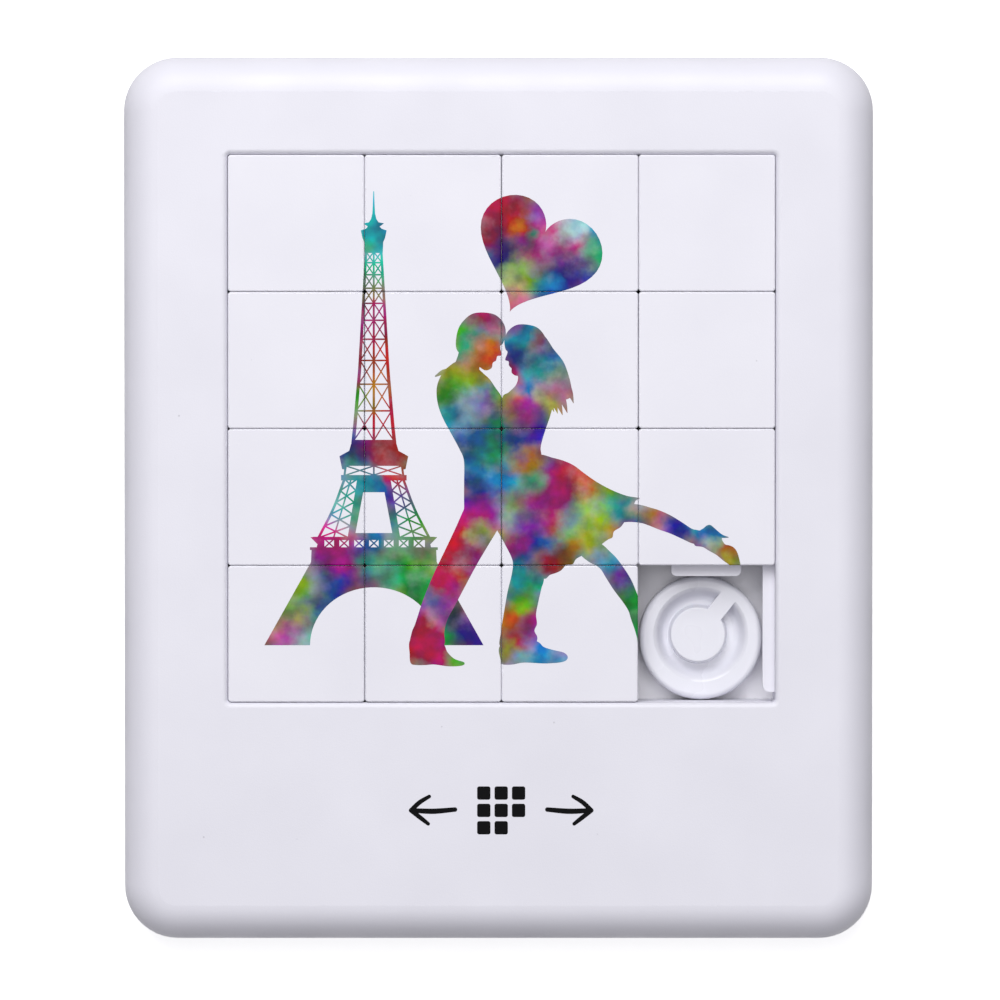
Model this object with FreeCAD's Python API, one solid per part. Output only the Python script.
import FreeCAD, Part
import math
import os

# Sliding tile puzzle: fifteen square tiles and one free cell in a pocket-sized moulded frame.
# Millimetres. The origin is the middle of the back plate's rear face, the surface the puzzle
# lies on. +X is to the right, +Y towards the top edge, +Z out of the printed face.

# Casing
body_width = 70.0
body_height = 82.4
body_thickness = 8.0
plan_corner_radius = 5.0
face_edge_radius = 3.3
back_edge_radius = 0.45
rim_above_table = 0.15
wall = 2.0
inner_edge_radius = 1.3

# Window and tiles
rows = 4
columns = 4
pitch = 12.74
window_side = 51.0
window_centre = (0.28, 6.56)
window_corner_radius = 0.3
window_edge_radius = 0.5
tile_side = 12.705
tile_underside = 4.5
tile_face = 7.9
tile_corner_radius = 0.3
tile_edge_radius = 0.15
tile_skin = 1.4
tongue_wall = 1.3
groove_wall = 2.4
resting_play = 0.01

# Tongues and grooves that hold the tiles to each other and to the frame
tongue_length = 6.5
tongue_reach = 1.05
tongue_corner_radius = 0.5
tongue_low = 5.4
tongue_high = 6.4
groove_depth = 1.3
groove_low = 5.3
groove_high = 6.5
rail_reach = 1.12
rail_end_gap = 0.9
rail_corner_radius = 0.7
frame_groove_depth = 1.25
collar_grooved = 2.6
collar_railed = 2.0

# Back plate
plate_thickness = 1.6
plate_side_gap = 0.1
plate_edge_chamfer = 0.3
seat_gap = 0.05
runner_width = 1.0
runner_top = 4.45
runner_spacing = 6.4
runner_end_gap = 0.6
pin_radius = 0.98
pin_top = 4.8
pin_tip_chamfer = 0.3
ejector_mark_radius = 2.5
ejector_mark_depth = 0.12

# Sockets and stiffening ribs under the frame
bore_radius = 1.0
bore_top = 5.2
boss_radius = 2.7
boss_inset = 2.5
rib_width = 1.2
rib_x = 14.0
rib_low = 3.0

# Round insert on the floor of the free cell, with its dish and hub a little off its middle
insert_centre = (18.95, -13.08)
insert_radius = 5.78
insert_top = 4.3
insert_rim_round = 0.5
dish_offset = (0.0, 0.33)
dish_radius = 4.45
dish_edge_roll = 0.15
dish_floor = 2.8
dish_foot_radius = 3.1
dish_hollow = 0.3
hub_offset = (-0.26, 0.31)
hub_radius = 2.56
hub_flare = 0.3
hub_edge_round = 0.15
spoke_width = 1.6
spoke_length = 4.9
spoke_angle = 51.3
insert_lift = 0.02
spigot_radius = 3.4
spigot_height = 0.6
socket_radius = 3.45
socket_depth = 0.75

window_left = window_centre[0] - window_side / 2
window_right = window_centre[0] + window_side / 2
window_bottom = window_centre[1] - window_side / 2
window_top = window_centre[1] + window_side / 2
seat = plate_thickness + seat_gap


def box(x_low, x_high, y_low, y_high, z_low, z_high):
    """Block between two corners."""
    corner = FreeCAD.Vector(x_low, y_low, z_low)
    return Part.makeBox(x_high - x_low, y_high - y_low, z_high - z_low, corner)


def cylinder(x, y, radius, z_low, z_high):
    """Upright round bar."""
    return Part.makeCylinder(radius, z_high - z_low, FreeCAD.Vector(x, y, z_low))


def upright_edges(shape):
    """Edges that run along Z."""
    return [edge for edge in shape.Edges if edge.BoundBox.ZLength > 0.01 and
            edge.BoundBox.XLength < 0.01 and edge.BoundBox.YLength < 0.01]


def level_edges(shape, height, half_extent=math.inf, centre=(0.0, 0.0)):
    """Edges that lie flat at one height, no further from a centre than a half extent."""
    found = []
    for edge in shape.Edges:
        bounds = edge.BoundBox
        reach_x = max(abs(bounds.XMin - centre[0]), abs(bounds.XMax - centre[0]))
        reach_y = max(abs(bounds.YMin - centre[1]), abs(bounds.YMax - centre[1]))
        is_level = abs(bounds.ZMin - height) < 0.01 and abs(bounds.ZMax - height) < 0.01
        if is_level and max(reach_x, reach_y) <= half_extent:
            found.append(edge)
    return found


def rounded_block(size_x, size_y, z_low, z_high, corner_radius, centre=(0.0, 0.0)):
    """Block with rounded upright corners, centred in plan."""
    block = box(centre[0] - size_x / 2, centre[0] + size_x / 2,
                centre[1] - size_y / 2, centre[1] + size_y / 2, z_low, z_high)
    return block.makeFillet(corner_radius, upright_edges(block))


def joined(first, others):
    """One solid from a solid and the pieces that grow out of it."""
    return first.fuse(others).removeSplitter()


def cell_centre(row, column):
    """Middle of a cell, with rows counted from the top and columns from the left."""
    x = window_centre[0] + (column - (columns - 1) / 2) * pitch
    y = window_centre[1] + ((rows - 1) / 2 - row) * pitch
    return x, y


def socket_places():
    """Where the pins of the back plate enter the frame."""
    inner_x = body_width / 2 - wall - boss_inset
    inner_y = body_height / 2 - wall - boss_inset
    middle_y = (window_bottom + window_top) / 2
    corners = [(side_x * inner_x, side_y * inner_y) for side_x in (-1, 1) for side_y in (-1, 1)]
    return corners + [(-inner_x, middle_y), (inner_x, middle_y), (0.0, lower_field_middle())]


def lower_field_middle():
    """Height in Y of the middle of the plain field under the window."""
    return (window_bottom - collar_grooved - body_height / 2 + wall) / 2


def casing_shell():
    """The frame's outside, open at the back, with walls of one thickness."""
    outside = rounded_block(body_width, body_height, rim_above_table, body_thickness,
                            plan_corner_radius)
    outside = outside.makeFillet(face_edge_radius, level_edges(outside, body_thickness))
    outside = outside.makeFillet(back_edge_radius, level_edges(outside, rim_above_table))
    cavity_top = body_thickness - wall
    cavity = rounded_block(body_width - 2 * wall, body_height - 2 * wall, -1.0, cavity_top,
                           plan_corner_radius - wall)
    cavity = cavity.makeFillet(inner_edge_radius, level_edges(cavity, cavity_top))
    return outside.cut(cavity)


def window_collar():
    """Wall around the window, thicker on the two sides that have a groove."""
    return box(window_left - collar_grooved, window_right + collar_railed,
               window_bottom - collar_grooved, window_top + collar_railed,
               seat, body_thickness - wall / 2)


def rail_bar(along_x):
    """Rail with rounded ends, along the top wall or the right wall of the window."""
    length = window_side - 2 * rail_end_gap
    overlap = 0.5
    if along_x:
        bar = box(window_centre[0] - length / 2, window_centre[0] + length / 2,
                  window_top - rail_reach, window_top + overlap, tongue_low, tongue_high)
        free_side = bar.BoundBox.YMin
    else:
        bar = box(window_right - rail_reach, window_right + overlap,
                  window_centre[1] - length / 2, window_centre[1] + length / 2,
                  tongue_low, tongue_high)
        free_side = bar.BoundBox.XMin
    ends = [edge for edge in upright_edges(bar)
            if abs((edge.BoundBox.YMin if along_x else edge.BoundBox.XMin) - free_side) < 0.01]
    return bar.makeFillet(rail_corner_radius, ends)


def frame_grooves():
    """Slots for the tongues, along the left wall and the bottom wall of the window."""
    left = box(window_left - frame_groove_depth, window_left + 0.5,
               window_bottom, window_top, groove_low, groove_high)
    bottom = box(window_left, window_right,
                 window_bottom - frame_groove_depth, window_bottom + 0.5, groove_low, groove_high)
    return [left, bottom]


def stiffening_ribs():
    """Two ribs behind the plain field under the window."""
    field_low = -body_height / 2 + wall / 2
    field_high = window_bottom - collar_grooved / 2
    return [box(side * rib_x - rib_width / 2, side * rib_x + rib_width / 2,
                field_low, field_high, rib_low, body_thickness - wall / 2)
            for side in (-1, 1)]


def front_frame():
    """Casing shell with the window, its grooves and rails, and the sockets for the back plate."""
    roof = body_thickness - wall / 2
    bosses = [cylinder(x, y, boss_radius, seat, roof) for x, y in socket_places()]
    solid = joined(casing_shell(), [window_collar()] + stiffening_ribs() + bosses)
    window = rounded_block(window_side, window_side, -1.0, body_thickness + 1.0,
                           window_corner_radius, window_centre)
    solid = solid.cut(window)
    lip = level_edges(solid, body_thickness, window_side / 2 + 0.01, window_centre)
    solid = solid.makeFillet(window_edge_radius, lip)
    solid = solid.cut(frame_grooves())
    bores = [cylinder(x, y, bore_radius, 0.0, bore_top) for x, y in socket_places()]
    solid = solid.cut(bores)
    return joined(solid, [rail_bar(True), rail_bar(False)])


def floor_runners():
    """Low ridges that the tiles slide on, two to a row, ending short of the round insert."""
    runners = []
    for row in range(rows):
        row_y = cell_centre(row, 0)[1]
        stop = window_right - runner_end_gap
        if row == rows - 1:
            stop = insert_centre[0] - insert_radius - runner_end_gap
        for side in (-1, 1):
            y = row_y + side * runner_spacing / 2
            runners.append(box(window_left + runner_end_gap, stop,
                               y - runner_width / 2, y + runner_width / 2, 1.0, runner_top))
    return runners


def pins():
    """Round pins with a tapered tip, pressed into the frame."""
    made = []
    for x, y in socket_places():
        straight = cylinder(x, y, pin_radius, 1.0, pin_top - pin_tip_chamfer)
        tip = Part.makeCone(pin_radius, pin_radius - pin_tip_chamfer, pin_tip_chamfer,
                            FreeCAD.Vector(x, y, pin_top - pin_tip_chamfer))
        made += [straight, tip]
    return made


def ejector_marks():
    """Shallow round marks that the mould's ejectors leave in the rear face."""
    half_x = body_width / 2 - 3 * plan_corner_radius
    half_y = body_height / 2 - 3 * plan_corner_radius
    return [cylinder(side_x * half_x, side_y * half_y, ejector_mark_radius,
                     -0.5, ejector_mark_depth)
            for side_x in (-1, 1) for side_y in (-1, 1)]


def back_plate():
    """Floor of the well, set into the back of the frame."""
    inset = wall + plate_side_gap
    plate = rounded_block(body_width - 2 * inset, body_height - 2 * inset, 0.0, plate_thickness,
                          plan_corner_radius - inset)
    plate = plate.makeChamfer(plate_edge_chamfer, level_edges(plate, 0.0))
    plate = plate.cut(ejector_marks())
    spigot = cylinder(insert_centre[0], insert_centre[1], spigot_radius, 1.0,
                      plate_thickness + spigot_height)
    return joined(plate, floor_runners() + pins() + [spigot])


def dish_cutter():
    """Bowl that is cut out of the insert: a rolled edge, a hollow slope and a flat floor."""
    point = FreeCAD.Vector
    above = insert_top + 1.0
    rolled = dish_radius - dish_edge_roll
    slope_radius = (rolled + dish_foot_radius) / 2
    slope_height = dish_floor + dish_hollow * (insert_top - dish_floor)
    slope = Part.BSplineCurve()
    slope.interpolate([point(dish_radius, 0, insert_top),
                       point(rolled, 0, insert_top - dish_edge_roll / 2),
                       point(slope_radius, 0, slope_height),
                       point(dish_foot_radius, 0, dish_floor)])
    corners = [point(dish_foot_radius, 0, dish_floor), point(0, 0, dish_floor),
               point(0, 0, above), point(dish_radius, 0, above), point(dish_radius, 0, insert_top)]
    sides = [Part.LineSegment(start, end).toShape()
             for start, end in zip(corners, corners[1:])]
    face = Part.Face(Part.Wire([slope.toShape()] + sides))
    bowl = Part.Solid(face.revolve(point(0, 0, 0), point(0, 0, 1), 360))
    bowl.translate(point(dish_offset[0], dish_offset[1], 0))
    return bowl


def hub_and_spoke():
    """Flat hub with a flared foot, and the one spoke that joins it to the rim."""
    centre = FreeCAD.Vector(hub_offset[0], hub_offset[1], 0)
    low = dish_floor - 0.5
    hub = Part.makeCone(hub_radius + hub_flare, hub_radius, insert_top - low,
                        centre + FreeCAD.Vector(0, 0, low))
    hub = hub.makeFillet(hub_edge_round, level_edges(hub, insert_top))
    spoke = box(0.0, spoke_length, -spoke_width / 2, spoke_width / 2, low, insert_top)
    spoke.rotate(FreeCAD.Vector(0, 0, 0), FreeCAD.Vector(0, 0, 1), spoke_angle)
    spoke.translate(centre)
    return [hub, spoke]


def round_insert():
    """Round dish with a hub and one spoke, on a spigot in the free cell."""
    solid = cylinder(0.0, 0.0, insert_radius, plate_thickness + insert_lift, insert_top)
    solid = solid.makeFillet(insert_rim_round, level_edges(solid, insert_top))
    solid = joined(solid.cut(dish_cutter()), hub_and_spoke())
    solid = solid.cut(cylinder(0.0, 0.0, socket_radius, 0.0, plate_thickness + socket_depth))
    solid.translate(FreeCAD.Vector(insert_centre[0], insert_centre[1], 0))
    return solid


def tongue(towards_left):
    """Flat tongue with rounded corners, on the left side or the bottom side of a tile."""
    half = tile_side / 2
    overlap = 0.5
    bar = box(-half - tongue_reach, -half + overlap, -tongue_length / 2, tongue_length / 2,
              tongue_low, tongue_high)
    tips = [edge for edge in upright_edges(bar) if edge.BoundBox.XMin < -half - 0.5]
    bar = bar.makeFillet(tongue_corner_radius, tips)
    if not towards_left:
        bar.rotate(FreeCAD.Vector(0, 0, 0), FreeCAD.Vector(0, 0, 1), 90)
    return bar


def tile_grooves():
    """Slots for the neighbours' tongues, right along the right side and the top side."""
    half = tile_side / 2
    right = box(half - groove_depth, half + 0.5, -half - 0.5, half + 0.5, groove_low, groove_high)
    top = box(-half - 0.5, half + 0.5, half - groove_depth, half + 0.5, groove_low, groove_high)
    return [right, top]


def tile_hollow():
    """Space under the tile's face, open below."""
    half = tile_side / 2
    return box(-half + tongue_wall, half - groove_wall, -half + tongue_wall, half - groove_wall,
               tile_underside - 1.0, tile_face - tile_skin)


def tile(number):
    """One tile, resting in its cell a hair off centre, within the play of its neighbours."""
    solid = rounded_block(tile_side, tile_side, tile_underside, tile_face, tile_corner_radius)
    solid = solid.makeFillet(tile_edge_radius, level_edges(solid, tile_face))
    solid = solid.cut(tile_grooves() + [tile_hollow()])
    solid = joined(solid, [tongue(True), tongue(False)])
    row, column = divmod(number - 1, columns)
    x, y = cell_centre(row, column)
    play_x = resting_play * math.sin(2.4 * number)
    play_y = resting_play * math.cos(1.7 * number)
    solid.translate(FreeCAD.Vector(x + play_x, y + play_y, 0))
    return solid


def save(name, shape):
    """Write one piece, after making sure that it is a single sound solid."""
    if len(shape.Solids) != 1 or not shape.isValid():
        raise ValueError(f"{name}: {len(shape.Solids)} solids, valid {shape.isValid()}")
    shape.Solids[0].exportStep(f"parts/{name}.step")
    print(f"{name}: {shape.Volume / 1000:.3f} cm3")


os.makedirs("parts", exist_ok=True)
save("front_frame", front_frame())
save("back_plate", back_plate())
save("round_insert", round_insert())
for tile_number in range(1, rows * columns):
    save(f"tile_{tile_number:02d}", tile(tile_number))
